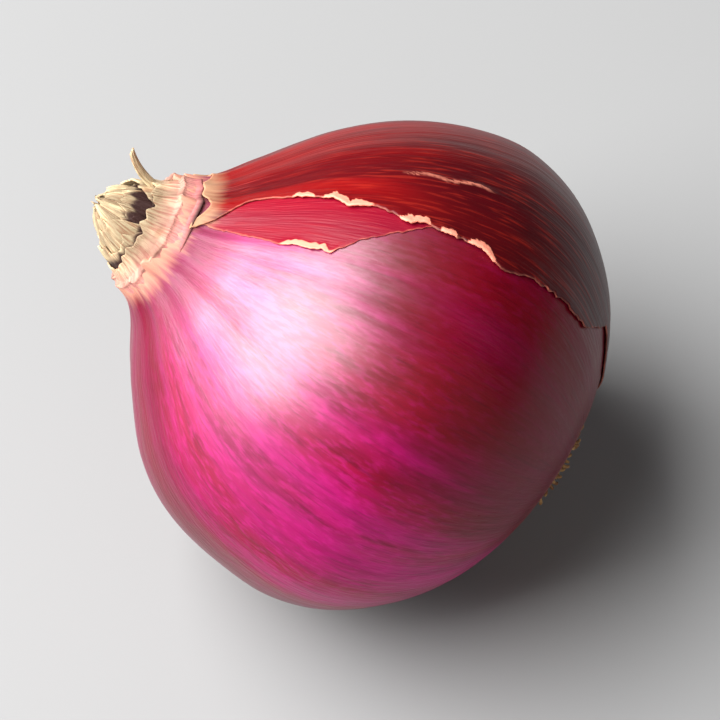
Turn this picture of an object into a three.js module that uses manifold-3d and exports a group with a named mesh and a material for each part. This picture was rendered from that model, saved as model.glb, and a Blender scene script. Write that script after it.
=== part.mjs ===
// A pink shallot, whole and unpeeled, lying on its side with its neck up.
// Millimetres, +Z up. The origin is the middle of the small flat spot that it rests on, and the neck points to -X.
// The bulb's own axis is worked in a frame where its widest ring lies at height 0, the roots are below and the
// neck is above. "Turn" is the angle round that axis, from the side that ends up on top.

import * as THREE from "three";
import { mergeVertices } from "three/addons/utils/BufferGeometryUtils.js";
import Module from "manifold-3d";

const wasm = await Module();
wasm.setup();

// Driving dimensions of the bulb
const WIDEST_RADIUS = 17;
const ROOT_DEPTH = 12.2; // from the widest ring down to the root plate
const NECK_HEIGHT = 19.6; // from the widest ring up to the mouth of the neck
const LEAN = THREE.MathUtils.degToRad(32); // how far the neck points up from the surface
const SLANT_TOP = 0.06; // the upper side sits this much nearer the neck, per millimetre from the axis
const SLANT_NEAR = 0.08; // and so does the near side
const SHOULDER = 1.4; // how much fuller the bulb is towards the neck on its near, lower side
const FLAT_DEPTH = 0.85; // how much the resting side is pressed flat
const OVAL = 0.015; // the section is this much wider from side to side than from top to bottom

// Thin pieces
const SKIN_THICKNESS = 0.6; // the torn outer skin, thicker than life
const SKIN_PROUD = 0.3; // how far it stands out of the bulb round it
const GAP = 0.3; // between two pieces that touch
const LEAF_THICKNESS = 0.6;

// Facets
const FINEST = 0.02; // detail below this is dropped where pieces are fused
const BULB_SIDES = 76;
const FLANK_ROWS = 30;

const COLOURS = { bulb: 0xb3204f, outerSkin: 0x9c2a22, neck: 0xd9bf94, roots: 0x9a7646 };

const turnOf = (degrees) => THREE.MathUtils.degToRad(degrees);
const rising = (low, high, value) => THREE.MathUtils.smoothstep(value, low, high);
const falling = (low, high, value) => 1 - rising(low, high, value);
const blend = THREE.MathUtils.lerp;

// The same draw of numbers on every run, each from 0 to 1.
function seededRandom(seed) {
  const multiplier = 16807;
  const modulus = 2147483647;
  let state = seed;
  return () => {
    state = (state * multiplier) % modulus;
    return state / modulus;
  };
}

// A sum of waves round the axis.
function ripple(waves, turn) {
  return waves.reduce((sum, { count, depth, phase }) => sum + depth * Math.sin(count * turn + phase), 0);
}

// A closed mesh as a manifold-3d solid, and back.
function solidOf(geometry) {
  const bare = geometry.clone();
  bare.deleteAttribute("normal");
  bare.deleteAttribute("uv");
  const merged = mergeVertices(bare, 1e-4);
  const vertProperties = merged.getAttribute("position").array;
  const triVerts = new Uint32Array(merged.index.array);
  return new wasm.Manifold(new wasm.Mesh({ numProp: 3, vertProperties, triVerts }));
}

function geometryOf(solid) {
  const { vertProperties, triVerts } = solid.getMesh();
  const geometry = new THREE.BufferGeometry();
  geometry.setAttribute("position", new THREE.BufferAttribute(vertProperties, 3));
  geometry.setIndex(new THREE.BufferAttribute(triVerts, 1));
  geometry.computeVertexNormals();
  return geometry;
}

// Joins solids into one and fills any hollow that they close off between them.
function fused(geometries) {
  const whole = geometries.map(solidOf).reduce((joined, solid) => joined.add(solid));
  const outerShells = solidOf(geometryOf(whole))
    .decompose()
    .filter((shell) => shell.volume() > 0);
  return geometryOf(outerShells.reduce((joined, shell) => joined.add(shell)).simplify(FINEST));
}

// Moves every vertex of a geometry to where the function says.
function reshaped(geometry, place) {
  const position = geometry.getAttribute("position");
  for (let k = 0; k < position.count; k++) {
    const p = place(new THREE.Vector3().fromBufferAttribute(position, k), k);
    position.setXYZ(k, p.x, p.y, p.z);
  }
  return geometry;
}

// The flank, from the rim of the root plate to the mouth of the neck, as shares of the widest radius and of the
// root's depth or the neck's height.
const ROOT_SIDE = [
  [0.2, -1.0],
  [0.46, -0.93],
  [0.72, -0.72],
  [0.92, -0.38],
];
const NECK_SIDE = [
  [1.0, 0.0],
  [0.965, 0.22],
  [0.86, 0.43],
  [0.69, 0.62],
  [0.47, 0.78],
  [0.315, 0.89],
  [0.245, 1.0],
];
const flank = new THREE.SplineCurve([
  ...ROOT_SIDE.map(([r, h]) => new THREE.Vector2(r * WIDEST_RADIUS, h * ROOT_DEPTH)),
  ...NECK_SIDE.map(([r, h]) => new THREE.Vector2(r * WIDEST_RADIUS, h * NECK_HEIGHT)),
]);
const stationAtRow = (row) => row / FLANK_ROWS;

// Shallow lengthwise folds. They are low on the body and gather towards the neck.
const BODY_FOLDS = [
  { count: 7, depth: 0.06, phase: 0.6 },
  { count: 12, depth: 0.05, phase: 2.1 },
];
const NECK_FOLDS = [
  { count: 9, depth: 0.13, phase: 1.3 },
  { count: 16, depth: 0.09, phase: 0.4 },
];

function folds(turn, station) {
  return ripple(BODY_FOLDS, turn) * rising(0, 0.25, station) + ripple(NECK_FOLDS, turn) * rising(0.6, 0.9, station);
}

// The near, lower side keeps its width for longer towards the neck.
const SHOULDER_TURN = turnOf(-126);

function shoulder(turn, station) {
  const side = Math.max(0, Math.cos(turn - SHOULDER_TURN)) ** 2;
  return SHOULDER * side * rising(0.42, 0.72, station) * falling(0.78, 0.98, station);
}

const slant = (x, y) => SLANT_TOP * x - SLANT_NEAR * y;

// A point of the bulb's plain surface, before the outer skin's bed is sunk into it.
function plainPoint(station, turn) {
  const { x: radius, y: height } = flank.getPoint(station);
  const wide = radius * (1 - OVAL * Math.cos(2 * turn)) + folds(turn, station) + shoulder(turn, station);
  const x = wide * Math.cos(turn);
  const y = wide * Math.sin(turn);
  return new THREE.Vector3(x, y, height + slant(x, y) * falling(0.6, 1.1, station));
}

// The same point moved in or out along the surface's normal.
function liftedPoint(station, turn, lift) {
  const step = 1e-3;
  const at = plainPoint(station, turn);
  const along = plainPoint(Math.min(station + step, 1), turn).sub(plainPoint(Math.max(station - step, 0), turn));
  const round = plainPoint(station, turn + step).sub(plainPoint(station, turn - step));
  return at.addScaledVector(round.cross(along).normalize(), lift);
}

// The outer skin covers the upper and far side. Its torn front edge follows the veins and steps across them, and
// so does its far edge. Each is given as stations with a turn in degrees.
const FRONT_TEAR = [
  [0.05, 30],
  [0.13, 12],
  [0.2, 16],
  [0.25, 2],
  [0.37, -1],
  [0.42, -3.5],
  [0.48, -0.5],
  [0.58, 0],
  [0.63, 3],
  [0.67, 1.5],
  [0.7, 5],
  [0.82, 9],
  [0.86, 4],
  [0.9, -6],
  [0.95, -17],
];
const FAR_TEAR = [
  [0.05, 96],
  [0.18, 118],
  [0.3, 110],
  [0.44, 127],
  [0.6, 120],
  [0.74, 131],
  [0.95, 112],
];
const TEAR_START = FRONT_TEAR[0][0];
const TEAR_END = FRONT_TEAR.at(-1)[0];

function tearTurn(tear, station) {
  const after = Math.max(1, tear.findIndex(([s]) => s >= station));
  const [[s0, t0], [s1, t1]] = [tear[after - 1], tear[after]];
  return turnOf(blend(t0, t1, (station - s0) / (s1 - s0)));
}

// How deep the bed under the outer skin is at a point. It fades out beyond the skin's edges.
const BED_DEPTH = SKIN_THICKNESS + GAP - SKIN_PROUD;

function bedDepth(station, turn) {
  const held = THREE.MathUtils.clamp(station, TEAR_START, TEAR_END);
  const front = tearTurn(FRONT_TEAR, held);
  const far = tearTurn(FAR_TEAR, held);
  const beyondEdge = Math.max(front - turn, turn - far, 0);
  const beyondEnds = Math.abs(station - held);
  return BED_DEPTH * falling(turnOf(5), turnOf(24), beyondEdge) * falling(0.03, 0.1, beyondEnds);
}

// The bulb: flank rows, then a ragged rim and a socket that the dry leaf tips stand in.
const ROOT_DIMPLE_DEPTH = 1.1;
const DIMPLE_WALL_RADIUS = 3.1;
const SOCKET_RADIUS = 3.5;
const SOCKET_DEPTH = 2.6;
const RIM_TEETH = [
  { count: 5, depth: 0.3, phase: 1 },
  { count: 11, depth: 0.22, phase: 0 },
];
const ROWS_BEFORE_FLANK = 2;

function bulbProfile() {
  const rootRim = flank.getPoint(0);
  const mouth = flank.getPoint(1);
  const dimpleFloor = rootRim.y + ROOT_DIMPLE_DEPTH;
  const flankPoints = Array.from({ length: FLANK_ROWS + 1 }, (_, row) => flank.getPoint(stationAtRow(row)));
  return [
    new THREE.Vector2(0, dimpleFloor),
    new THREE.Vector2(DIMPLE_WALL_RADIUS, dimpleFloor),
    ...flankPoints,
    new THREE.Vector2(SOCKET_RADIUS, mouth.y),
    new THREE.Vector2(SOCKET_RADIUS, mouth.y - SOCKET_DEPTH),
    new THREE.Vector2(0, mouth.y - SOCKET_DEPTH),
  ];
}

function bulbGeometry() {
  const profile = bulbProfile();
  return reshaped(new THREE.LatheGeometry(profile, BULB_SIDES), (_, k) => {
    const point = k % profile.length;
    const turn = (Math.floor(k / profile.length) / BULB_SIDES) * 2 * Math.PI;
    const row = point - ROWS_BEFORE_FLANK;
    if (row >= 0 && row < FLANK_ROWS) {
      const signedTurn = turn > Math.PI ? turn - 2 * Math.PI : turn;
      return liftedPoint(stationAtRow(row), turn, -bedDepth(stationAtRow(row), signedTurn));
    }
    const { x: radius, y: height } = profile[point];
    const x = radius * Math.cos(turn);
    const y = radius * Math.sin(turn);
    const isRim = row === FLANK_ROWS || row === FLANK_ROWS + 1;
    const raised = isRim ? ripple(RIM_TEETH, turn) : 0;
    const slanted = row < 0 ? slant(x, y) : 0;
    return new THREE.Vector3(x, y, height + raised + slanted);
  });
}

// The torn outer skin: a sheet of thin cells laid over the bulb between its two torn edges. Its ends are torn in
// a few scallops.
const SKIN_CELLS_ROUND = 22;
const SKIN_CELLS_ALONG = 24;
const ROOT_END_SCALLOPS = { count: 2.6, depth: 0.035 };
const NECK_END_SCALLOPS = { count: 3, depth: 0.025 };

function outerSkinGeometry() {
  const scallop = ({ count, depth }, across) => depth * Math.sin(count * Math.PI * across) ** 2;
  const sheet = new THREE.BoxGeometry(1, SKIN_THICKNESS, 1, SKIN_CELLS_ROUND, 1, SKIN_CELLS_ALONG);
  return reshaped(sheet, ({ x, y, z }) => {
    const across = 0.5 - x;
    const start = TEAR_START + scallop(ROOT_END_SCALLOPS, across);
    const end = TEAR_END - scallop(NECK_END_SCALLOPS, across);
    const station = blend(start, end, z + 0.5);
    const turn = blend(tearTurn(FRONT_TEAR, station), tearTurn(FAR_TEAR, station), across);
    return liftedPoint(station, turn, SKIN_PROUD - SKIN_THICKNESS / 2 + y);
  });
}

// The dry neck: what is left of the leaves, one torn sheath inside the other round a shrivelled core. It stands
// in the neck's socket. Each ring of its profile is raised or lowered round the axis by its sheath's teeth.
const SHEATHS = [
  { radius: SOCKET_RADIUS - GAP, rim: 1.9, teeth: 3, phase: 0.1, tear: 1.5 },
  { radius: 2.2, rim: 3.3, teeth: 4, phase: 0.45, tear: 1.3 },
];
const CORE = { radius: 0.9, rim: 3.8, teeth: 2, phase: 0.7, tear: 0.7 };
const CORE_TIP = 4.1;
const GROOVE_DEPTH = 0.9;
const SHRIVEL = 0.05; // how far the dry part is from round, as a share of its radius
const NECK_SIDES = 40;

function tornEdge({ teeth, phase, tear }, turn) {
  const wave = (count, shift) => Math.abs(2 * (((turn * count) / (2 * Math.PI) + shift) % 1) - 1);
  return tear * (0.65 * wave(teeth, phase) + 0.35 * wave(2 * teeth + 1, phase) - 0.5);
}

function neckProfile() {
  const foot = -SOCKET_DEPTH + GAP;
  const rings = [
    { radius: 0, height: foot },
    { radius: SHEATHS[0].radius, height: foot },
    { radius: SHEATHS[0].radius, height: 0.3 },
  ];
  for (const sheath of SHEATHS) {
    const inside = sheath.radius - LEAF_THICKNESS;
    rings.push({ radius: sheath.radius - 0.1, height: sheath.rim, sheath });
    rings.push({ radius: inside, height: sheath.rim, sheath });
    rings.push({ radius: inside, height: sheath.rim - GROOVE_DEPTH, sheath });
    rings.push({ radius: inside - GAP, height: sheath.rim - GROOVE_DEPTH, sheath });
  }
  rings.push({ radius: CORE.radius, height: CORE.rim, sheath: CORE });
  rings.push({ radius: 0, height: CORE_TIP });
  return rings;
}

function neckTipsGeometry() {
  const rings = neckProfile();
  const profile = rings.map(({ radius, height }) => new THREE.Vector2(radius, height));
  const stump = reshaped(new THREE.LatheGeometry(profile, NECK_SIDES), (_, k) => {
    const { radius, height, sheath } = rings[k % rings.length];
    const turn = (Math.floor(k / rings.length) / NECK_SIDES) * 2 * Math.PI;
    const out = radius * (1 + SHRIVEL * Math.sin(3 * turn + height) * rising(0, 1.5, height));
    const torn = sheath ? tornEdge(sheath, turn) : 0;
    return new THREE.Vector3(out * Math.cos(turn), out * Math.sin(turn), NECK_HEIGHT + height + torn);
  });
  return fused([stump, curledTag()]);
}

// One sliver of a dry leaf that has stayed longer and curls outwards.
const TAG = { turn: turnOf(40), width: 1.1, tipShare: 0.45, length: 4.4, curl: 1.5, sunk: 0.15 };

function curledTag() {
  const blade = new THREE.BoxGeometry(LEAF_THICKNESS, TAG.width, TAG.length, 1, 2, 5);
  return reshaped(blade, ({ x, y, z }) => {
    const share = z / TAG.length + 0.5;
    const out = SHEATHS[0].radius - LEAF_THICKNESS / 2 - TAG.sunk + TAG.curl * share ** 3;
    const across = y * blend(1, TAG.tipShare, share);
    const point = new THREE.Vector3(out + x, across, NECK_HEIGHT + share * TAG.length);
    return point.applyAxisAngle(new THREE.Vector3(0, 0, 1), TAG.turn);
  });
}

// The root plate with its dry roots, fused. The roots leave the plate all over, spread more towards its rim, and
// bend to the resting side.
const PLATE_RADIUS = 2.7;
const PLATE_STANDS_OUT = 0.5;
const PLATE_DOME = 0.3;
const ROOT_COUNT = 34;
const ROOT_RADIUS = 0.27;
const ROOT_TIP_SHARE = 0.45;
const SHORTEST_ROOT = 1.6;
const LONGEST_ROOT = 3.6;
const ROOT_FLARE = 0.95;
const ROOT_STEPS = 4;
const ROOT_SIDES = 5;
const GOLDEN_TURN = turnOf(137.5);

function rootGeometry(start, direction, length, bendTo) {
  const pointAt = (share, bend) =>
    start.clone().addScaledVector(direction, share * length).addScaledVector(bendTo, bend * length);
  const curve = new THREE.CatmullRomCurve3([start, pointAt(0.35, 0.03), pointAt(0.7, 0.16), pointAt(0.92, 0.38)]);
  const { normals, binormals } = curve.computeFrenetFrames(ROOT_STEPS);
  const root = new THREE.CylinderGeometry(ROOT_RADIUS * ROOT_TIP_SHARE, ROOT_RADIUS, 1, ROOT_SIDES, ROOT_STEPS);
  return reshaped(root, ({ x, y, z }) => {
    const share = y + 0.5;
    const step = Math.round(share * ROOT_STEPS);
    return curve.getPointAt(share).addScaledVector(normals[step], z).addScaledVector(binormals[step], x);
  });
}

function rootPlateGeometry(bottom, top) {
  const edge = 0.3;
  const profile = [
    new THREE.Vector2(0, bottom - PLATE_DOME),
    new THREE.Vector2(PLATE_RADIUS * 0.6, bottom - PLATE_DOME / 2),
    new THREE.Vector2(PLATE_RADIUS * 0.95, bottom + edge),
    new THREE.Vector2(PLATE_RADIUS, top - edge),
    new THREE.Vector2(PLATE_RADIUS - edge, top),
    new THREE.Vector2(0, top),
  ];
  return new THREE.LatheGeometry(profile, 24).rotateX(Math.PI / 2);
}

function rootTuftGeometry() {
  const random = seededRandom(97);
  const top = -ROOT_DEPTH + ROOT_DIMPLE_DEPTH - GAP;
  const bottom = -ROOT_DEPTH - PLATE_STANDS_OUT;
  const restingSide = new THREE.Vector3(-0.75, 0.65, 0).normalize();
  const roots = Array.from({ length: ROOT_COUNT }, (_, i) => {
    const out = Math.sqrt((i + 0.5) / ROOT_COUNT);
    const turn = i * GOLDEN_TURN + 0.4 * random();
    const flare = ROOT_FLARE * out + 0.25 * (random() - 0.5);
    const radial = new THREE.Vector3(Math.cos(turn), Math.sin(turn), 0);
    const start = radial.clone().multiplyScalar(0.86 * PLATE_RADIUS * out);
    start.z = bottom + 0.35 * out;
    const direction = radial.multiplyScalar(Math.sin(flare)).add(new THREE.Vector3(0, 0, -Math.cos(flare)));
    return rootGeometry(start, direction, blend(SHORTEST_ROOT, LONGEST_ROOT, random()), restingSide);
  });
  return fused([rootPlateGeometry(bottom, top), ...roots]);
}

// Where the leaning bulb is lowest, in the leaning frame.
const leaning = new THREE.Matrix4().makeRotationY(LEAN - Math.PI / 2);

function lowestHeight(geometry) {
  const turned = geometry.clone().applyMatrix4(leaning);
  turned.computeBoundingBox();
  return turned.boundingBox.min.z;
}

// Presses the resting side flat by cutting it with a slab that lies level once the bulb leans.
function pressedFlat(geometry, level) {
  const side = 4 * WIDEST_RADIUS;
  const slab = new THREE.BoxGeometry(side, side, side).translate(0, 0, level - side / 2);
  slab.applyMatrix4(leaning.clone().invert());
  return geometryOf(solidOf(geometry).subtract(solidOf(slab)));
}

// The middle of the flat spot, in the leaning frame.
function spotCentre(geometry, level) {
  const turned = geometry.clone().applyMatrix4(leaning);
  const position = turned.getAttribute("position");
  const spot = new THREE.Box3();
  for (let k = 0; k < position.count; k++) {
    const p = new THREE.Vector3().fromBufferAttribute(position, k);
    if (p.z < level + 1e-3) spot.expandByPoint(p);
  }
  return spot.getCenter(new THREE.Vector3());
}

function piece(name, geometry, color, roughness) {
  const mesh = new THREE.Mesh(geometry, new THREE.MeshStandardMaterial({ color, roughness, metalness: 0 }));
  mesh.name = name;
  return mesh;
}

const plainBulb = bulbGeometry();
const restLevel = lowestHeight(plainBulb) + FLAT_DEPTH;
const bulb = pressedFlat(plainBulb, restLevel);
const spot = spotCentre(bulb, restLevel);

const lyingShallot = new THREE.Group();
lyingShallot.rotation.y = LEAN - Math.PI / 2;
lyingShallot.position.set(-spot.x, -spot.y, -restLevel);
lyingShallot.add(
  piece("bulb", bulb, COLOURS.bulb, 0.4),
  piece("outer_skin", outerSkinGeometry(), COLOURS.outerSkin, 0.55),
  piece("neck_tips", neckTipsGeometry(), COLOURS.neck, 0.85),
  piece("root_tuft", rootTuftGeometry(), COLOURS.roots, 0.9),
);

const shallot = new THREE.Group();
shallot.add(lyingShallot);

export default shallot;
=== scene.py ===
# %% [markdown]
# # A pink shallot
# This lesson dresses a plain CAD shallot in Blender. The real thing is a small onion that grew in a
# clump: a round, fleshy bulb in a thin shiny skin, drawn in to a dry neck at one end and to a plate of
# dry roots at the other. The CAD model gives the true size and place, in metres, with the shallot lying
# on its side. It has four solids: the bulb, the torn outer skin, the dry neck and the roots. A finer
# piece replaces each of them in the same place, a thin scrap of skin is added beside the tear, and each
# piece gets its own finish.

import math
import random

import bmesh
import bpy
from mathutils import Matrix, Vector, noise


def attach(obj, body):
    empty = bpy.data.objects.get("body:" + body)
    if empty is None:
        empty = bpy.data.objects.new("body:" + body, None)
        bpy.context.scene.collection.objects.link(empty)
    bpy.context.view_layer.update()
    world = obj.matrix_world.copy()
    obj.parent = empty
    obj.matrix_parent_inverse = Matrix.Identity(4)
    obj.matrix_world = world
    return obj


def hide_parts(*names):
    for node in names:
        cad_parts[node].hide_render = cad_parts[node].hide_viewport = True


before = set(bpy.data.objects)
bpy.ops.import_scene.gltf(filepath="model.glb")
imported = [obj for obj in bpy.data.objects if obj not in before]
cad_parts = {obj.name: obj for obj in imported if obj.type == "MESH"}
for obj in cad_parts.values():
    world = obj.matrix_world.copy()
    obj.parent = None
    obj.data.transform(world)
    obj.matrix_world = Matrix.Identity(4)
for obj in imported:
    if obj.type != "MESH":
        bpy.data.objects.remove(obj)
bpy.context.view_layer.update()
print("CAD solids:", ", ".join(sorted(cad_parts)))

# %% [markdown]
# ## The shape of a bulb
# A bulb is nearly a turned form, so it can be drawn as one flank line and spun round. The flank runs from
# the rim of the root plate, over the widest ring, to the mouth of the neck, and a place on it is a
# "station" from 0 to 1. A place round the axis is a "turn", with 0 on the side that lies on top. It could
# also be sculpted by hand, but then nothing else would fit it: with a formula, the skins and the veins
# are laid on the same surface later.

# %% The flank line, in millimetres
WIDEST_RADIUS = 17.0
ROOT_DEPTH = 12.2
NECK_HEIGHT = 19.6

# Radius and height, as shares of the widest radius and of the depth or height on that side of the widest ring
ROOT_SIDE = [(0.2, -1.0), (0.46, -0.93), (0.72, -0.72), (0.92, -0.38)]
NECK_SIDE = [(1.0, 0.0), (0.965, 0.22), (0.86, 0.43), (0.69, 0.62), (0.47, 0.78), (0.315, 0.89), (0.245, 1.0)]
FLANK = [(r * WIDEST_RADIUS, h * ROOT_DEPTH) for r, h in ROOT_SIDE]
FLANK += [(r * WIDEST_RADIUS, h * NECK_HEIGHT) for r, h in NECK_SIDE]


def flank(station):
    """The radius and height at a station, on a smooth curve through the flank's points."""
    place = min(max(station, 0.0), 1.0) * (len(FLANK) - 1)
    k = min(int(place), len(FLANK) - 2)
    t = place - k
    before, start, end, after = (Vector(FLANK[min(max(k + i, 0), len(FLANK) - 1)]) for i in (-1, 0, 1, 2))
    leaving = (end - before) / 2
    arriving = (after - start) / 2
    cubic = 2 * start - 2 * end + leaving + arriving
    square = 3 * end - 3 * start - 2 * leaving - arriving
    return cubic * t**3 + square * t**2 + leaving * t + start


print("flank from", tuple(flank(0)), "to", tuple(flank(1)), "mm")

# %% [markdown]
# ## Soft ramps and noise
# Hardly anything on a natural thing starts or stops sharply, so most values below fade in and out on a
# soft ramp. Unevenness comes from Blender's noise function. It gives the same value for the same place on
# every run, and near places get near values, where random numbers would jump from point to point.


# %% Helpers for soft ramps and noise
def rising(low, high, value):
    """0 below low, 1 above high, and a soft ramp between."""
    t = min(max((value - low) / (high - low), 0.0), 1.0)
    return t * t * (3 - 2 * t)


def falling(low, high, value):
    return 1 - rising(low, high, value)


def between(a, b, share):
    return a + (b - a) * share


def round_noise(turn, along, fineness, stretch, seed):
    """Noise that closes round the axis. A small stretch draws it out along the bulb, as veins are."""
    return noise.noise(Vector((math.cos(turn) * fineness + seed, math.sin(turn) * fineness, along * stretch)))


print("a quarter of the way up, a soft ramp has reached", rising(0, 1, 0.25))

# %% [markdown]
# ## What makes it natural
# No bulb is perfectly round. This one leans a little, keeps its width longer on one shoulder, has low
# folds along its length that gather at the neck, and fine raised veins under the skin. All of these move
# the points of the spun form in or out, which is what a sculptor's brush does, but the same on every run.

# %% The surface of the bulb, in millimetres
# How far a point is raised towards the neck, or lowered, for each millimetre it lies to that side of the axis
SLANT_TOP = 0.06
SLANT_NEAR = 0.08
SHOULDER = 1.4
SHOULDER_TURN = math.radians(-126)
OVAL = 0.015
VEIN_DEPTH = 0.05
FINEST_VEIN_DEPTH = 0.03
DENT_DEPTH = 0.16
PLEAT_DEPTH = 0.22
SLOPE_STEP = 0.004

# Waves round the axis: how deep, how many, and where they start
BODY_FOLDS = [(0.06, 7, 0.6), (0.05, 12, 2.1)]
GATHERED_FOLDS = [(0.13, 9, 1.3), (0.09, 16, 0.4)]


def waves_at(turn, waves):
    return sum(depth * math.sin(count * turn + start) for depth, count, start in waves)


def folds(turn, station):
    """Low folds all along, and deeper ones that gather at the neck."""
    body = waves_at(turn, BODY_FOLDS) * rising(0, 0.25, station)
    return body + waves_at(turn, GATHERED_FOLDS) * rising(0.6, 0.9, station)


def shoulder(turn, station):
    """The side on which the bulb keeps its width longer towards the neck."""
    side = max(0.0, math.cos(turn - SHOULDER_TURN)) ** 2
    return SHOULDER * side * rising(0.42, 0.72, station) * falling(0.78, 0.98, station)


def veins(turn, station):
    """Fine ridges along the bulb, a few broad soft dents, and pleats near the neck."""
    fine = VEIN_DEPTH * round_noise(turn, station, 9, 1.5, 3.0)
    fine += FINEST_VEIN_DEPTH * round_noise(turn, station, 20, 2.0, 8.0)
    dents = DENT_DEPTH * round_noise(turn, station, 1.6, 3.0, 5.0)
    pleats = PLEAT_DEPTH * round_noise(turn, station, 5.5, 2.0, 1.0) * rising(0.7, 0.92, station)
    return (fine + dents) * rising(0.0, 0.15, station) * falling(0.9, 1.0, station) + pleats


def slant(x, y):
    return SLANT_TOP * x - SLANT_NEAR * y


def bulb_point(station, turn, lift=0.0):
    """A point of the surface, or one that is lifted off it, in the bulb's own frame."""
    radius, height = flank(station)
    oval = 1 - OVAL * math.cos(2 * turn)
    wide = radius * oval + folds(turn, station) + shoulder(turn, station) + veins(turn, station)
    slope = (flank(station + SLOPE_STEP) - flank(station - SLOPE_STEP)).normalized()
    wide += lift * slope.y
    x, y = wide * math.cos(turn), wide * math.sin(turn)
    return Vector((x, y, height - lift * slope.x + slant(x, y) * falling(0.6, 1.1, station)))


print("widest point:", tuple(round(v, 2) for v in bulb_point(0.4, 0.0)), "mm")

# %% [markdown]
# ## From the bulb's frame to the table
# It is easiest to shape a bulb standing on its roots and then to lay it down. One matrix does that for
# every piece: it leans the axis until the neck points 32 degrees up, moves the middle of the flat spot to
# the origin, and scales millimetres to metres. What would still be below the table is pressed flat, as
# soft skin is. All of this is put into the meshes, so each object stays unturned at the origin.

# %% Laying a piece down and naming it
LEAN = math.radians(32)
# The middle of the widest ring, seen from the middle of the flat spot, in millimetres
BULB_CENTRE = Vector((2.4931, -0.8838, 15.2098))
MM = 0.001
LAID = Matrix.Scale(MM, 4) @ Matrix.Translation(BULB_CENTRE) @ Matrix.Rotation(LEAN - math.pi / 2, 4, "Y")


def piece(bm, name, node, finish):
    """Turns a bmesh in the bulb's frame into a finished object on the table."""
    bmesh.ops.transform(bm, matrix=LAID, verts=bm.verts)
    for vert in bm.verts:
        vert.co.z = max(vert.co.z, 0.0)
    for face in bm.faces:
        face.smooth = True
    mesh = bpy.data.meshes.new(name)
    bm.to_mesh(mesh)
    bm.free()
    made = bpy.data.objects.new(name, mesh)
    bpy.context.collection.objects.link(made)
    made.data.materials.append(finish)
    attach(made, "root")
    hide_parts(node)
    size = [round(side / MM, 1) for side in made.dimensions]
    print(name, "has", len(mesh.polygons), "faces and measures", size, "mm")


print("the middle of the widest ring is", round(BULB_CENTRE.z, 1), "mm above the table")

# %% [markdown]
# ## Shader maths that reads like maths
# Every finish on this shallot is a colour that changes along its veins. In the node editor that takes
# dozens of small nodes. Here a socket is wrapped so that +, - and * make the Math nodes, and one method
# makes any other node, which keeps each finish down to a few readable lines.


# %% A socket that can be added and multiplied
def srgb(red, green, blue):
    """A colour as a picture editor gives it, in the light values that Blender works in."""
    values = (v / 255 for v in (red, green, blue))
    return (*(v / 12.92 if v <= 0.04045 else ((v + 0.055) / 1.055) ** 2.4 for v in values), 1)


class Paint:
    """A number, colour or vector that is on its way through a material's nodes."""

    def __init__(self, tree, socket):
        self.tree = tree
        self.socket = socket

    def node(self, kind, settings=(), out=0, **inputs):
        """Adds a node. An input goes by its name, or by in0, in1 and so on where several share a name."""
        made = self.tree.nodes.new("ShaderNode" + kind)
        for key, value in dict(settings).items():
            setattr(made, key, value)
        for key, value in inputs.items():
            place = int(key[2:]) if key[2:].isdigit() else key.replace("_", " ")
            if isinstance(value, Paint):
                self.tree.links.new(value.socket, made.inputs[place])
            else:
                made.inputs[place].default_value = value
        return Paint(self.tree, made.outputs[out])

    def math(self, operation, first, second):
        return self.node("Math", {"operation": operation}, in0=first, in1=second)

    def __add__(self, other):
        return self.math("ADD", self, other)

    def __sub__(self, other):
        return self.math("SUBTRACT", self, other)

    def __rsub__(self, other):
        return self.math("SUBTRACT", other, self)

    def __mul__(self, other):
        return self.math("MULTIPLY", self, other)

    __radd__ = __add__
    __rmul__ = __mul__

    def ramp(self, low, high):
        """0 below low and 1 above high, softly."""
        settings = {"interpolation_type": "SMOOTHSTEP"}
        return self.node("MapRange", settings, Value=self, From_Min=low, From_Max=high)

    def stretched(self, by):
        return self.node("VectorMath", {"operation": "MULTIPLY"}, in0=self, in1=by)

    def noise(self, detail, scale=1.0):
        return self.node("TexNoise", Vector=self, Scale=scale, Detail=detail)

    def from_to(self, first, second):
        """This number as a share, which turns one colour into another."""
        return self.node("Mix", {"data_type": "RGBA"}, out=2, in0=self, in6=srgb(*first), in7=srgb(*second))

    def under(self, rgb, share):
        """This colour with another one laid over it, by a share."""
        return self.node("Mix", {"data_type": "RGBA"}, out=2, in0=share, in6=self, in7=srgb(*rgb))


def new_finish(name, **constants):
    """A material, its starting point for paint, and its shader with the constants set."""
    finish = bpy.data.materials.new(name)
    finish.use_nodes = True
    shader = finish.node_tree.nodes["Principled BSDF"]
    for key, value in constants.items():
        shader.inputs[key.replace("_", " ")].default_value = value
    return finish, Paint(finish.node_tree, None), shader


def feed(shader, name, paint):
    paint.tree.links.new(paint.socket, shader.inputs[name])


print("a middle grey of 128 is", round(srgb(128, 128, 128)[0], 3), "in light values")

# %% [markdown]
# ## A grain that follows the surface
# The streaks of a shallot run from neck to roots over the curve of the bulb. Object coordinates alone
# would give straight stripes that ignore the shape, so each point carries an attribute called grain:
# where it is round the axis, as a cosine and a sine, and how far along the bulb. Noise that is read
# through it, fine round the axis and drawn out along the bulb, gives veins that meet at both ends.

# %% Write and read the grain
GRAIN_LENGTH = 2.2


def grain_at(turn, station):
    return math.cos(turn), math.sin(turn), GRAIN_LENGTH * station


def grain_of(paint):
    return paint.node("Attribute", {"attribute_name": "grain"}, out=1)


def along_of(grain):
    """How far along: on the bulb it is 0 at the roots, and GRAIN_LENGTH at the mouth of the neck."""
    return grain.node("SeparateXYZ", out=2, Vector=grain)


def around_of(grain):
    """Which side: 1 on top, 0 on the near and the far side, and -1 underneath."""
    return grain.node("SeparateXYZ", out=0, Vector=grain)


def streaks_in(grain, fineness, stretch, detail=4):
    return grain.stretched((fineness, fineness, stretch)).noise(detail)


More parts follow.
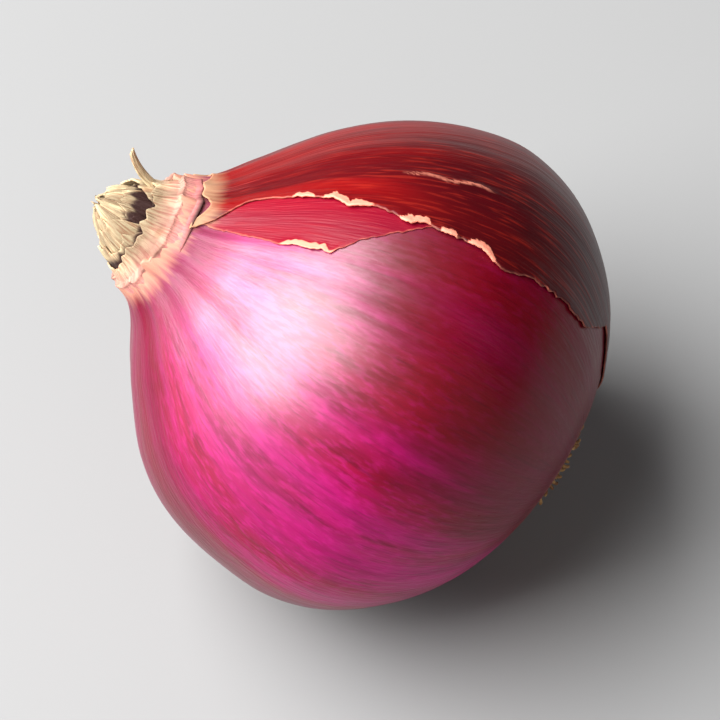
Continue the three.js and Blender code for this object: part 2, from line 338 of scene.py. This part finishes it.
print("the grain on top runs from", grain_at(0, 0), "to", grain_at(0, 1))

# %% [markdown]
# ## The pink skin's finish
# The living skin is thin, tight and shiny, and runs from crimson to magenta. Along every vein the colour
# gets denser or thinner, so from close by it is streaked from neck to roots. The upper side is maroon
# towards the roots, partly its own colour and partly painted shade, underneath it is darkened to crimson
# as painted shade, and near the neck the pink turns dusty and runs out into cream. A waxy bloom lies on
# the upper shoulder next to the neck, and spreads the light that falls on it. A rougher skin in that place
# would also dull the gloss of the streaks. A coat whose weight changes from place to place lays its soft
# sheen over them, over a slightly paler pink that is a painted highlight.

# %% Paint the pink skin
CRIMSON = (144, 0, 46)
MAGENTA = (174, 0, 102)
# Painted highlight: a paler pink laid under the soft sheen beside the neck
PAINTED_SHEEN_PINK = (160, 54, 112)
VEIN_RED = (92, 0, 24)
FLECK_PINK = (206, 22, 130)
# Partly the skin's own maroon and partly painted shade, for the upper side towards the roots
MAROON_AND_UPPER_SHADE = (96, 0, 8)
# Painted shade: a dark crimson for the side underneath
UNDERSIDE_SHADE_CRIMSON = (100, 0, 28)
FIBRE_RED = (70, 0, 14)
DUSTY_PINK = (130, 60, 80)
NECK_CREAM = (214, 150, 126)
ROOT_CREAM = (206, 150, 128)

pink_finish, paint, shader = new_finish(
    "pink skin", Coat_IOR=1.8, Coat_Roughness=0.47, Specular_IOR_Level=0.22, Subsurface_Weight=0.08
)
shader.inputs["Subsurface Radius"].default_value = (1.0, 0.25, 0.35)
shader.inputs["Subsurface Scale"].default_value = 0.0015
grain = grain_of(paint)
along = along_of(grain)
around = around_of(grain)
broad_streaks = streaks_in(grain, 4, 1.0)
streaks = streaks_in(grain, 16, 3.0)
flecks = streaks_in(grain, 50, 20)
fibres = streaks_in(grain, 70, 8, detail=2)

# Where the window's sheen falls beside the neck: it sets the coat, and a paler pink that is painted highlight
bloom_and_sheen = along.ramp(0.9, 1.5) * (1.0 - along.ramp(1.72, 1.98)) * around.ramp(-0.2, 0.5)
upper_side = around - 0.64 * along + 0.5 * streaks
underside_shade = 0.35 * along - around
to_neck = (along + 0.16 * (streaks - 0.5)).ramp(2.03, 2.17)
to_roots = (along + 0.2 * (streaks - 0.5)).ramp(0.0, 0.28)

skin_colour = broad_streaks.ramp(0.36, 0.64).from_to(CRIMSON, MAGENTA)
# Painted highlight: paler pink under the sheen
skin_colour = skin_colour.under(PAINTED_SHEEN_PINK, 0.45 * bloom_and_sheen)
skin_colour = skin_colour.under(VEIN_RED, 0.45 * streaks.ramp(0.44, 0.72))
skin_colour = skin_colour.under(FLECK_PINK, 0.35 * flecks.ramp(0.45, 0.7))
# Painted shade over the skin's own maroon: the upper side is darkened towards the roots
skin_colour = skin_colour.under(MAROON_AND_UPPER_SHADE, 0.85 * upper_side.ramp(0.0, 0.55))
# Painted shade: the side underneath is darkened to crimson, reaching further round towards the neck
skin_colour = skin_colour.under(UNDERSIDE_SHADE_CRIMSON, 0.8 * underside_shade.ramp(0.45, 0.85))
skin_colour = skin_colour.under(FIBRE_RED, 0.3 * fibres.ramp(0.52, 0.72))
skin_colour = skin_colour.under(DUSTY_PINK, 0.8 * along.ramp(1.7, 1.98) * around.ramp(-0.3, 0.3))
skin_colour = skin_colour.under(NECK_CREAM, to_neck)
skin_colour = skin_colour.under(ROOT_CREAM, 1.0 - to_roots)
relief = 0.3 * streaks + 0.4 * flecks + 0.3 * fibres
feed(shader, "Base Color", skin_colour)
feed(shader, "Roughness", 0.24 + 0.14 * flecks + 0.25 * to_neck)
feed(shader, "Coat Weight", 0.02 + bloom_and_sheen * (0.83 + 0.2 * flecks.ramp(0.35, 0.6)))
feed(shader, "Normal", paint.node("Bump", Strength=0.4, Distance=0.0002, Height=relief))
print("pink skin has", len(pink_finish.node_tree.nodes), "nodes")

# %% [markdown]
# ## The bulb
# A profile is spun once round the axis. It starts in the middle of the root end, comes round the flank,
# turns over the rim of the neck and goes down into a socket for the dry leaves. After the spin the two
# poles are closed by merging, and each point is moved to the natural surface. Both rims are ragged,
# because the skin tore there as it dried.

# %% Spin and shape the bulb
ROOT_DIMPLE_RADIUS = 2.9
ROOT_DIMPLE_DEPTH = 1.1
SOCKET_RADIUS = 3.5
SOCKET_DEPTH = 2.6
FLANK_STEPS = 130
BULB_TURN_STEPS = 280


def spun(profile, steps):
    """Spins a profile of (radius, height, station) round the axis. The stations stay with the points."""
    bm = bmesh.new()
    station_layer = bm.verts.layers.float.new("station")
    line = []
    for radius, height, station in profile:
        vert = bm.verts.new((radius, 0, height))
        vert[station_layer] = station
        line.append(vert)
    edges = [bm.edges.new(pair) for pair in zip(line, line[1:])]
    bmesh.ops.spin(
        bm, geom=line + edges, cent=(0, 0, 0), axis=(0, 0, 1), angle=2 * math.pi, steps=steps, use_merge=True
    )
    bmesh.ops.remove_doubles(bm, verts=bm.verts, dist=1e-5)
    bmesh.ops.recalc_face_normals(bm, faces=bm.faces)
    return bm, station_layer


def rim_teeth(turn):
    """How far a torn rim stands up at a turn, or down where it is negative."""
    wave = 0.2 * math.sin(5 * turn + 1)
    return wave + 0.5 * round_noise(turn, 0, 5, 0, 2.0) + 0.35 * round_noise(turn, 0, 14, 0, 4.0)


# Stations below 0 are in the dimple at the roots, 1.05 is just inside the rim of the neck, and the last two
# are in its socket
dimple_height = -ROOT_DEPTH + ROOT_DIMPLE_DEPTH
socket_height = NECK_HEIGHT - SOCKET_DEPTH
profile = [(0.0, dimple_height, -0.1), (ROOT_DIMPLE_RADIUS, dimple_height, -0.05)]
profile += [(*flank(k / FLANK_STEPS), k / FLANK_STEPS) for k in range(FLANK_STEPS + 1)]
profile += [(SOCKET_RADIUS + 0.3, NECK_HEIGHT - 0.1, 1.05)]
profile += [(SOCKET_RADIUS, socket_height, 1.1), (0.0, socket_height, 1.15)]
bulb_mesh, station_layer = spun(profile, BULB_TURN_STEPS)
grain_layer = bulb_mesh.verts.layers.float_vector.new("grain")
for vert in bulb_mesh.verts:
    turn = math.atan2(vert.co.y, vert.co.x)
    station = vert[station_layer]
    if 0 <= station <= 1:
        vert.co = bulb_point(station, turn)
        vert.co.z += rim_teeth(turn) * (rising(0.95, 1.0, station) - 0.5 * falling(0.0, 0.04, station))
    elif station < 0:
        vert.co.z += slant(vert.co.x, vert.co.y) - 0.5 * rim_teeth(turn)
    elif station < 1.08:
        vert.co.z += rim_teeth(turn)
    vert[grain_layer] = grain_at(turn, station)
piece(bulb_mesh, "bulb_skin", "bulb", pink_finish)

# %% [markdown]
# ## The dry outer skin's finish
# The oldest skin has dried to brick red and maroon. Its orange fibres are partly its own colour and partly
# painted light, for light that would come through the thin skin. Beside the tear, on the half towards the
# roots, it is darkened nearly black as painted shade, and the thin scrap next to it is raspberry red. Where
# the skin tore, the edge is pale, and in a few places it has turned over and catches the light. How pale a
# point is and how thin the skin is there are kept in attributes called edge and thin, because only the
# geometry knows them.

# %% Paint the dry outer skin
DRY_MAROON = (90, 0, 8)
DRY_BRICK = (128, 2, 6)
# Painted shade: nearly black on the upper side towards the roots, beside the tear
TEAR_SHADE = (48, 0, 6)
DRY_VEIN = (74, 0, 8)
# Partly orange fibres and partly painted light that would come through the thin skin
FIBRE_AND_GLOW_ORANGE = (184, 44, 24)
RASPBERRY = (146, 10, 44)
TORN_CREAM = (252, 152, 126)
DRY_STRAW = (206, 160, 124)

dry_finish, paint, shader = new_finish(
    "dry outer skin", Coat_Weight=0.08, Coat_Roughness=0.3, Specular_IOR_Level=0.2
)
grain = grain_of(paint)
along = along_of(grain)
around = around_of(grain)
edge = paint.node("Attribute", {"attribute_name": "edge"}, out=2)
thin = paint.node("Attribute", {"attribute_name": "thin"}, out=2)
broad_streaks = streaks_in(grain, 5, 0.9)
streaks = streaks_in(grain, 20, 1.8)
fibres = streaks_in(grain, 70, 8, detail=2)

# Painted shade on the upper side of the half towards the roots
shade_by_the_tear = 0.78 * around.ramp(0.45, 0.95) * (1.0 - along.ramp(1.05, 1.55))
torn = (edge + 0.35 * (fibres - 0.5)).ramp(0.2, 0.7)
to_neck = (along + 0.12 * (streaks - 0.5)).ramp(1.93, 2.08)

dry_colour = broad_streaks.ramp(0.38, 0.62).from_to(DRY_MAROON, DRY_BRICK)
dry_colour = dry_colour.under(TEAR_SHADE, shade_by_the_tear)
dry_colour = dry_colour.under(DRY_VEIN, 0.6 * streaks.ramp(0.5, 0.7))
# Orange fibres, partly painted light coming through the thin skin
dry_colour = dry_colour.under(FIBRE_AND_GLOW_ORANGE, 0.3 * fibres.ramp(0.5, 0.75))
dry_colour = dry_colour.under(RASPBERRY, 0.6 * thin)
dry_colour = dry_colour.under(TORN_CREAM, torn)
dry_colour = dry_colour.under(DRY_STRAW, 0.8 * to_neck)
relief = 0.5 * streaks + 0.5 * fibres
feed(shader, "Base Color", dry_colour)
feed(shader, "Roughness", 0.34 + 0.16 * fibres + 0.3 * to_neck)
feed(shader, "Normal", paint.node("Bump", Strength=0.45, Distance=0.0002, Height=relief))
print("dry outer skin has", len(dry_finish.node_tree.nodes), "nodes")

# %% [markdown]
# ## The tears
# A tear in dry skin runs along the fibres and jumps from one to the next, so its line is a few long
# stretches with steps between them. The line is given by its turning points, and noise adds the small
# nicks. In five places the edge has turned over and shows its pale inside. Each of these flaps is placed,
# because spread evenly by noise they would look like stitches. One short crease runs beside the tear.

# %% The lines of the tears
# A turning point is a station and a turn in degrees
FRONT_TEAR = [(0.05, 30), (0.13, 12), (0.2, 16), (0.25, 2), (0.37, -1), (0.42, -3.5), (0.48, -0.5), (0.58, 0)]
FRONT_TEAR += [(0.63, 3), (0.67, 1.5), (0.7, 5), (0.82, 9), (0.86, 4), (0.9, -6), (0.95, -17)]
FAR_TEAR = [(0.05, 96), (0.18, 118), (0.3, 110), (0.44, 127), (0.6, 120), (0.74, 131), (0.95, 112)]
SCRAP_TEAR = [(0.5, 4), (0.58, -3), (0.63, -8), (0.67, -15), (0.75, -15), (0.83, -13), (0.93, -10)]
SCRAP_FAR = [(0.5, 12), (0.93, 14)]

# A flap is the station of its middle, half its length as a station, and how wide it has turned over
FLAPS = [(0.74, 0.02, 0.4), (0.674, 0.042, 0.62), (0.57, 0.024, 0.66)]
FLAPS += [(0.517, 0.015, 0.46), (0.462, 0.028, 0.56)]
SCRAP_FLAPS = [(0.705, 0.05, 0.45)]
CREASE_TURN = math.radians(17)
CREASE_START = 0.44
CREASE_END = 0.64
CREASE_FADE = 0.05


def tear_turn(tear, station, roughness, seed):
    """The turn of a torn edge at a station, with the small steps and nicks of torn fibre."""
    k = next((i for i in range(1, len(tear)) if tear[i][0] >= station), len(tear) - 1)
    (s0, t0), (s1, t1) = tear[k - 1], tear[k]
    coarse = noise.noise(Vector((station * 30, seed, 0))) * 1.3
    nicks = noise.noise(Vector((station * 130, seed, 4))) * 0.7
    return math.radians(between(t0, t1, (station - s0) / (s1 - s0)) + roughness * (coarse + nicks))


def turned_over(flaps, station):
    """How wide the edge has turned over at a station, in millimetres, with a frayed outline."""
    frayed = 1 + 0.5 * noise.noise(Vector((station * 120, 8, 0)))
    widths = (width * falling(0.3, 1.2, abs(station - middle) / half) for middle, half, width in flaps)
    return frayed * max(widths)


def creased(station, turn, radius):
    """1 on the line of the crease and 0 away from it."""
    wander = 0.02 * noise.noise(Vector((station * 25, 2, 0)))
    across = falling(0.08, 0.34, abs(turn - CREASE_TURN - wander) * radius)
    begun = rising(CREASE_START, CREASE_START + CREASE_FADE, station)
    return across * begun * falling(CREASE_END - CREASE_FADE, CREASE_END, station)


def scallop(count, depth, across, seed):
    """The wavy line of a sheet's two ends, at the neck and at the roots."""
    wave = math.sin(count * math.pi * across) ** 2
    return depth * (wave + 0.5 * noise.noise(Vector((across * 14, seed, 0))))


print("the front tear has", len(FRONT_TEAR), "turning points and", len(FLAPS), "flaps")

# %% [markdown]
# ## Laying a torn skin on the bulb
# A torn skin is a sheet, so it starts as a flat grid. One way along the grid becomes the station, and the
# other runs from one torn edge to the other, so the ragged line of the tear shapes the whole sheet and no
# part has to be cut away. The sheet lies a fraction of a millimetre off the bulb and curls up at its
# edges. Solidify then gives it a wall, like the real skin but thick enough to render. The thin scrap is
# made in the same way.

# %% Lay the outer skin and a thinner scrap beside it
# The millimetres that one station counts for at a sheet's ends. The flank itself is about 45 mm long.
STATION_LENGTH = 50


def torn_sheet(front, far, start, end, columns, rows, lift, curl, thin, flaps, seed):
    """A sheet on the bulb between two tears, with its grain and the paleness of its edges."""
    bm = bmesh.new()
    bmesh.ops.create_grid(bm, x_segments=columns, y_segments=rows, size=1)
    grain_layer = bm.verts.layers.float_vector.new("grain")
    edge_layer = bm.verts.layers.float.new("edge")
    thin_layer = bm.verts.layers.float.new("thin")
    for vert in bm.verts:
        across, length = (vert.co.x + 1) / 2, (vert.co.y + 1) / 2
        station = between(start(across), end(across), length)
        front_turn = tear_turn(front, station, 1, seed)
        far_turn = tear_turn(far, station, 1.5, seed + 9)
        turn = between(front_turn, far_turn, across)
        radius = flank(station).x
        to_front = (turn - front_turn) * radius
        to_side = min(to_front, (far_turn - turn) * radius)
        to_end = min(station - start(across), end(across) - station) * STATION_LENGTH
        inside = min(to_side, to_end)
        loose = 0.5 + 0.5 * noise.noise(Vector((station * 26, across * 5, seed + 2)))
        flap = turned_over(flaps, station)
        crease = creased(station, turn, radius)
        raised = lift + curl * loose * falling(0.0, 1.8, inside) + 0.3 * flap * falling(0.0, 0.7, to_front)
        raised += 0.08 * crease
        vert.co = bulb_point(station, turn, raised)
        pale_rim = 0.35 * falling(0.0, 0.4, inside)
        pale_flap = falling(flap - 0.15, flap + 0.15, to_front) * rising(0.05, 0.3, flap)
        vert[edge_layer] = max(pale_rim, pale_flap, 0.45 * crease)
        vert[thin_layer] = thin
        vert[grain_layer] = grain_at(turn, station)
    bmesh.ops.recalc_face_normals(bm, faces=bm.faces)
    return bm


def walled(bm, wall):
    """Faces outwards, with a wall that grows inwards."""
    outward = sum(face.normal.dot(face.calc_center_median()) for face in bm.faces)
    if outward < 0:
        bmesh.ops.reverse_faces(bm, faces=bm.faces)
    bmesh.ops.solidify(bm, geom=bm.faces[:], thickness=wall)
    return bm


skin_mesh = torn_sheet(
    FRONT_TEAR,
    FAR_TEAR,
    start=lambda across: 0.05 + scallop(2.6, 0.035, across, 1),
    end=lambda across: 0.95 - scallop(3, 0.025, across, 2),
    columns=150,
    rows=230,
    lift=0.14,
    curl=0.12,
    thin=0.0,
    flaps=FLAPS,
    seed=11,
)
piece(walled(skin_mesh, 0.1), "torn_outer_skin", "outer_skin", dry_finish)
scrap_mesh = torn_sheet(
    SCRAP_TEAR,
    SCRAP_FAR,
    start=lambda across: 0.53 + scallop(1, 0.02, across, 5),
    end=lambda across: 0.925 - scallop(2, 0.02, across, 6),
    columns=60,
    rows=130,
    lift=0.05,
    curl=0.04,
    thin=1.0,
    flaps=SCRAP_FLAPS,
    seed=23,
)
piece(walled(scrap_mesh, 0.04), "thin_skin_scrap", "outer_skin", dry_finish)

# %% [markdown]
# ## The dry neck's finish
# The leaves have died back to papery cream stubs, pinker at the foot where they leave the skin, with a
# few brown stains. Down between them, where a leaf buckles in and under the lifted foot of the outer leaf,
# shade is painted nearly dark. An attribute called depth holds this painted shade and says how far inside
# the neck a point is. The neck's grain holds half the turn, the number of the leaf and the millimetres
# above the mouth, so that each leaf has streaks of its own.

# %% Paint the dry neck
PAPER_TAN = (180, 134, 98)
PAPER_CREAM = (226, 204, 162)
FOOT_PINK = (206, 112, 120)
STAIN_BROWN = (140, 108, 64)
# Painted shade down between the leaves
PAINTED_SHADE_BROWN = (46, 16, 10)

neck_finish, paint, shader = new_finish("dry neck", Specular_IOR_Level=0.35)
grain = grain_of(paint)
# The depth attribute holds painted shade
depth = paint.node("Attribute", {"attribute_name": "depth"}, out=2)
fibres = grain.stretched((40, 16, 0.7)).noise(4)
stains = streaks_in(grain, 3, 0.9, detail=3)
height = along_of(grain)
neck_colour = fibres.ramp(0.3, 0.6).from_to(PAPER_TAN, PAPER_CREAM)
neck_colour = neck_colour.under(FOOT_PINK, 0.85 * (1.0 - height.ramp(-0.8, 2.0)))
neck_colour = neck_colour.under(STAIN_BROWN, 0.45 * stains.ramp(0.54, 0.7))
# Painted shade: dark brown between the leaves, in buckled recesses and under the lifted foot
neck_colour = neck_colour.under(PAINTED_SHADE_BROWN, depth)
feed(shader, "Base Color", neck_colour)
feed(shader, "Roughness", 0.55 + 0.25 * fibres)
feed(shader, "Normal", paint.node("Bump", Strength=0.7, Distance=0.0003, Height=fibres))
print("dry neck has", len(neck_finish.node_tree.nodes), "nodes")

# %% [markdown]
# ## The dry neck
# Each dead leaf was wrapped round the next one, so the knob of the neck is built like that: ten short
# leaves, one over the other, that lean in together and close at the top. Drying has buckled them all in
# the same way, and where they part, shade is painted dark between them. One sliver of a leaf stayed
# longer and bends outwards.

# %% Wrap the dead leaves round each other
KNOB_RADIUS = 3.95
KNOB_HEIGHT = 4.3
LAYER_STEP = 0.34
LEAF_WALL = 0.12
# The share of the neck's height that the last tenth of the flank takes up
LAST_TENTH = 0.11


def mouth_radius(height, turn):
    """How far out the bulb's skin is at a height, which is negative below the mouth of the neck."""
    station = 1 + 0.1 * height / (LAST_TENTH * NECK_HEIGHT)
    return bulb_point(station, turn).xy.length


def knob_share(height):
    """How wide the knob is at a height, as a share of its full radius."""
    share = min(max(height / KNOB_HEIGHT, 0.0), 0.98)
    return math.sqrt(1 - share**2) * (1 - 0.1 * rising(0.0, 0.3, share))


def shrivel(turn, height):
    """How far the dry leaves have buckled in and out. One rule for all, so that they stay nested."""
    pleats = 0.36 * round_noise(turn, height, 1.9, 0.16, 6.0) + 0.2 * round_noise(turn, height, 4.6, 0.3, 9.0)
    return pleats * rising(-0.6, 1.0, height)


def leaf_grid(bm, columns, rows):
    """The points of a new grid, each with its place across from -1 to 1 and its place up from 0 to 1."""
    verts = bmesh.ops.create_grid(bm, x_segments=columns, y_segments=rows, size=1)["verts"]
    return [(vert, vert.co.x, (vert.co.y + 1) / 2) for vert in verts]


def dead_leaf(bm, middle, half_wrap, layer, foot, tip, seed):
    """One dead leaf wrapped round the axis, with a rounded torn tip that leans in with the others."""
    grain_layer, shade_layer = bm.verts.layers.float_vector["grain"], bm.verts.layers.float["depth"]
    for vert, across, up in leaf_grid(bm, 70, 28):
        turn = math.radians(middle + half_wrap * across)
        ragged = 0.7 * noise.noise(Vector((turn * 1.6, seed, 0)))
        ragged += 0.35 * noise.noise(Vector((turn * 6, seed, 3)))
        top = tip * (1 - 0.5 * abs(across) ** 3) + ragged
        height = between(foot, max(top, foot + 0.8), up)
        buckled = shrivel(turn, height)
        gape = falling(0.0, 0.45, height - foot) * max(0.0, math.cos(turn)) ** 6 * (layer == 0)
        out = (KNOB_RADIUS - LAYER_STEP * layer) * knob_share(height) + buckled
        if layer == 0 and height < 0.3:
            out = max(out, mouth_radius(min(height, 0.0), turn) + 0.06 + 0.3 * gape)
        vert.co = (out * math.cos(turn), out * math.sin(turn), NECK_HEIGHT + height)
        shade = height + 0.5 * noise.noise(Vector((turn * 5, seed, 2)))
        shade_inside = falling(1.4, 2.0, shade) if layer < 2.5 else falling(2.4, 3.0, shade)
        # Painted shade: low on the inner leaves, where a leaf buckles in, and under the lifted foot of the
        # outer one
        vert[shade_layer] = max(shade_inside * (layer > 0.5), 0.5 * falling(-0.16, 0.0, buckled), gape)
        vert[grain_layer] = (turn * 0.5, seed, height)


def curled_sliver(bm, middle, width, length, curl, seed):
    """A sliver of a leaf that stayed longer, twists and bends outwards."""
    grain_layer = bm.verts.layers.float_vector["grain"]
    turned = Matrix.Rotation(math.radians(middle), 3, "Z")
    for vert, across, up in leaf_grid(bm, 8, 24):
        side = across * width / 2 * (1 - 0.6 * up)
        twist = 1.1 * up
        out = 2.9 + curl * up**3 - 0.12 * across**2 + side * math.sin(twist)
        vert.co = turned @ Vector((out, side * math.cos(twist), NECK_HEIGHT + length * up))
        vert[grain_layer] = (side * 0.3, seed, length * up)


# The turn of its middle and half its width in degrees, how many leaves lie over it, and the heights of its
# foot and tip above the mouth
LEAVES = [
    (168, 100, 0, -0.9, 1.5),
    (-30, 75, 0, -0.95, 1.7),
    (62, 60, 0.4, -0.9, 2.0),
    (-112, 70, 0.7, -1.0, 2.3),
    (110, 110, 1.4, -1.2, 3.0),
    (-88, 56, 1.6, -1.2, 3.4),
    (12, 60, 2.8, -1.2, 3.3),
    (-150, 130, 2.6, -1.2, 3.9),
    (-20, 175, 4.4, -1.2, 4.2),
    (120, 178, 6.2, -1.2, 4.25),
]
neck_mesh = bmesh.new()
neck_mesh.verts.layers.float_vector.new("grain")
neck_mesh.verts.layers.float.new("depth")
for seed, leaf in enumerate(LEAVES):
    dead_leaf(neck_mesh, *leaf, seed)
curled_sliver(neck_mesh, middle=40, width=1.3, length=4.2, curl=1.3, seed=9)
bmesh.ops.recalc_face_normals(neck_mesh, faces=neck_mesh.faces)
bmesh.ops.solidify(neck_mesh, geom=neck_mesh.faces[:], thickness=LEAF_WALL)
piece(neck_mesh, "dry_neck_leaves", "neck_tips", neck_finish)

# %% [markdown]
# ## The roots' finish
# Dry roots are brown to straw-coloured and dusty. They are so thin that no pattern along them would show,
# so plain noise on Object coordinates is enough to give each one a change of tone.

# %% Paint the roots
ROOT_BROWN = (120, 78, 46)
ROOT_STRAW = (190, 148, 96)
DUST_SCALE = 900

root_finish, paint, shader = new_finish("dry roots", Specular_IOR_Level=0.3)
dusty = paint.node("TexCoord", out=3).noise(3, DUST_SCALE)
feed(shader, "Base Color", dusty.ramp(0.35, 0.65).from_to(ROOT_BROWN, ROOT_STRAW))
feed(shader, "Roughness", 0.75 + 0.15 * dusty)
feed(shader, "Normal", paint.node("Bump", Strength=0.6, Distance=0.0002, Height=dusty))
print("dry roots has", len(root_finish.node_tree.nodes), "nodes")

# %% [markdown]
# ## The roots
# The roots leave the root plate all over, and bend as they dried. From one to the next they turn by
# nearly the same angle, as seeds in a flower head do, which spreads them evenly. On the side that rests
# they are longest and splay out most. Each one is a small ring of points that is extruded step by step
# along its bend, which keeps it light, because there are many. The random numbers have a seed, so every
# run is the same.

# %% Grow the roots
ROOT_COUNT = 84
ROOT_RADIUS = 0.16
ROOT_STEPS = 7
ROOT_BEND = 0.16
ROOT_TAPER = 0.93
PLATE_RADIUS = 2.7
PLATE_TURN_STEPS = 48
GOLDEN_TURN = math.radians(137.5)
RESTING_SIDE = Vector((-0.75, 0.65, 0)).normalized()
pick = random.Random(97)


def grow_root(bm, start, direction, length, bend_to):
    """Extrudes a hexagon along a bending line and narrows it to the tip."""
    facing = direction.to_track_quat("Z", "Y").to_matrix().to_4x4()
    placed = Matrix.Translation(start) @ facing
    ring = bmesh.ops.create_circle(bm, cap_ends=True, segments=6, radius=ROOT_RADIUS, matrix=placed)["verts"]
    tip = list({face for vert in ring for face in vert.link_faces})
    heading = direction.copy()
    for step in range(ROOT_STEPS):
        turned = (heading + bend_to * ROOT_BEND * (1 + step / 3)).normalized()
        grown = bmesh.ops.extrude_face_region(bm, geom=tip)["geom"]
        bmesh.ops.delete(bm, geom=[face for face in tip if face.is_valid], context="FACES_ONLY")
        tip = [part for part in grown if isinstance(part, bmesh.types.BMFace)]
        verts = [part for part in grown if isinstance(part, bmesh.types.BMVert)]
        middle = sum((vert.co for vert in verts), Vector()) / len(verts)
        swing = Matrix.Translation(middle) @ heading.rotation_difference(turned).to_matrix().to_4x4()
        swing = swing @ Matrix.Scale(ROOT_TAPER, 4) @ Matrix.Translation(-middle)
        bmesh.ops.transform(bm, matrix=swing, verts=verts)
        bmesh.ops.translate(bm, vec=turned * length / ROOT_STEPS, verts=verts)
        heading = turned


bottom = -ROOT_DEPTH - 0.5
plate_profile = [(0, bottom - 0.3), (1.6, bottom - 0.15), (2.45, bottom + 0.2)]
plate_profile += [(PLATE_RADIUS, bottom + 0.8), (2.6, bottom + 1.3), (0, bottom + 1.3)]
root_mesh, _ = spun([(radius, height, 0.0) for radius, height in plate_profile], PLATE_TURN_STEPS)
for i in range(ROOT_COUNT):
    out = math.sqrt((i + 0.5) / ROOT_COUNT)
    turn = i * GOLDEN_TURN + 0.5 * pick.random()
    radial = Vector((math.cos(turn), math.sin(turn), 0))
    down = 0.5 + 0.5 * radial.dot(RESTING_SIDE)
    flare = between(0.45, 1.3, down) * out + 0.4 * (pick.random() - 0.5)
    start = radial * 0.86 * PLATE_RADIUS * out
    start.z = bottom + 0.25 * out
    direction = radial * math.sin(flare) + Vector((0, 0, -math.cos(flare)))
    bend_to = (RESTING_SIDE + 0.5 * Vector((pick.random() - 0.5, pick.random() - 0.5, 0))).normalized()
    length = between(1.6, 4.0, pick.random()) * between(0.28, 1.0, down)
    grow_root(root_mesh, start, direction, length, bend_to)
bmesh.ops.recalc_face_normals(root_mesh, faces=root_mesh.faces)
piece(root_mesh, "root_threads", "root_tuft", root_finish)

# %% [markdown]
# ## The studio
# The shallot lies on a plain table. One large soft light stands to the left and above, a little in front,
# and lays a broad sheen beside the neck, as on a bulb by a window. A wider and much weaker one from the
# right keeps the shaded side from going black. The room around is nearly dark, because a bright one would
# lay a grey haze over the deep reds.

# %% Table, lights and surround
TABLE_GREY = 0.3
MIDDLE = Vector((0.0, -0.001, 0.016))

table_mesh = bmesh.new()
bmesh.ops.create_grid(table_mesh, x_segments=1, y_segments=1, size=1.5)
table_data = bpy.data.meshes.new("table")
table_mesh.to_mesh(table_data)
table_mesh.free()
table = bpy.data.objects.new("table", table_data)
bpy.context.collection.objects.link(table)
table_finish, paint, shader = new_finish("pale table", Roughness=0.7)
shader.inputs["Base Color"].default_value = (TABLE_GREY, TABLE_GREY, TABLE_GREY, 1)
table_data.materials.append(table_finish)


def soft_light(name, direction, distance, size, watts):
    """A square lamp that looks at the middle of the shallot from a direction."""
    lamp = bpy.data.lights.new(name, "AREA")
    lamp.size = size
    lamp.energy = watts
    made = bpy.data.objects.new(name, lamp)
    bpy.context.collection.objects.link(made)
    towards = Vector(direction).normalized()
    made.location = MIDDLE + towards * distance
    made.rotation_euler = (-towards).to_track_quat("-Z", "Y").to_euler()


soft_light("window", direction=(-0.62, -0.17, 0.75), distance=0.42, size=0.48, watts=7.2)
soft_light("fill", direction=(0.7, -0.65, 0.4), distance=0.6, size=0.9, watts=1.0)
surround = bpy.data.worlds.new("surround")
surround.use_nodes = True
sky = surround.node_tree.nodes["Background"]
sky.inputs["Color"].default_value = (0.95, 0.97, 1.0, 1)
sky.inputs["Strength"].default_value = 0.08
bpy.context.scene.world = surround

# %% [markdown]
# ## The camera
# It looks down at 55 degrees from the near side with a long lens, so the neck comes out to the left and a
# little towards the viewer, and near and far sides keep their true proportions.

# %% Camera
AZIMUTH = math.radians(14)
ELEVATION = math.radians(55)
DISTANCE = 0.4
LENS = 300

level = math.cos(ELEVATION)
back = Vector((math.sin(AZIMUTH) * level, -math.cos(AZIMUTH) * level, math.sin(ELEVATION)))
camera_data = bpy.data.cameras.new("camera")
camera_data.lens = LENS
camera_data.clip_start = 0.01
camera_data.clip_end = 10
camera = bpy.data.objects.new("camera", camera_data)
bpy.context.collection.objects.link(camera)
camera.location = MIDDLE + back * DISTANCE
camera.rotation_euler = (-back).to_track_quat("-Z", "Y").to_euler()
bpy.context.scene.camera = camera
bpy.context.scene.view_settings.view_transform = "Standard"
print("the camera is", round((camera.location - MIDDLE).length, 3), "m away")
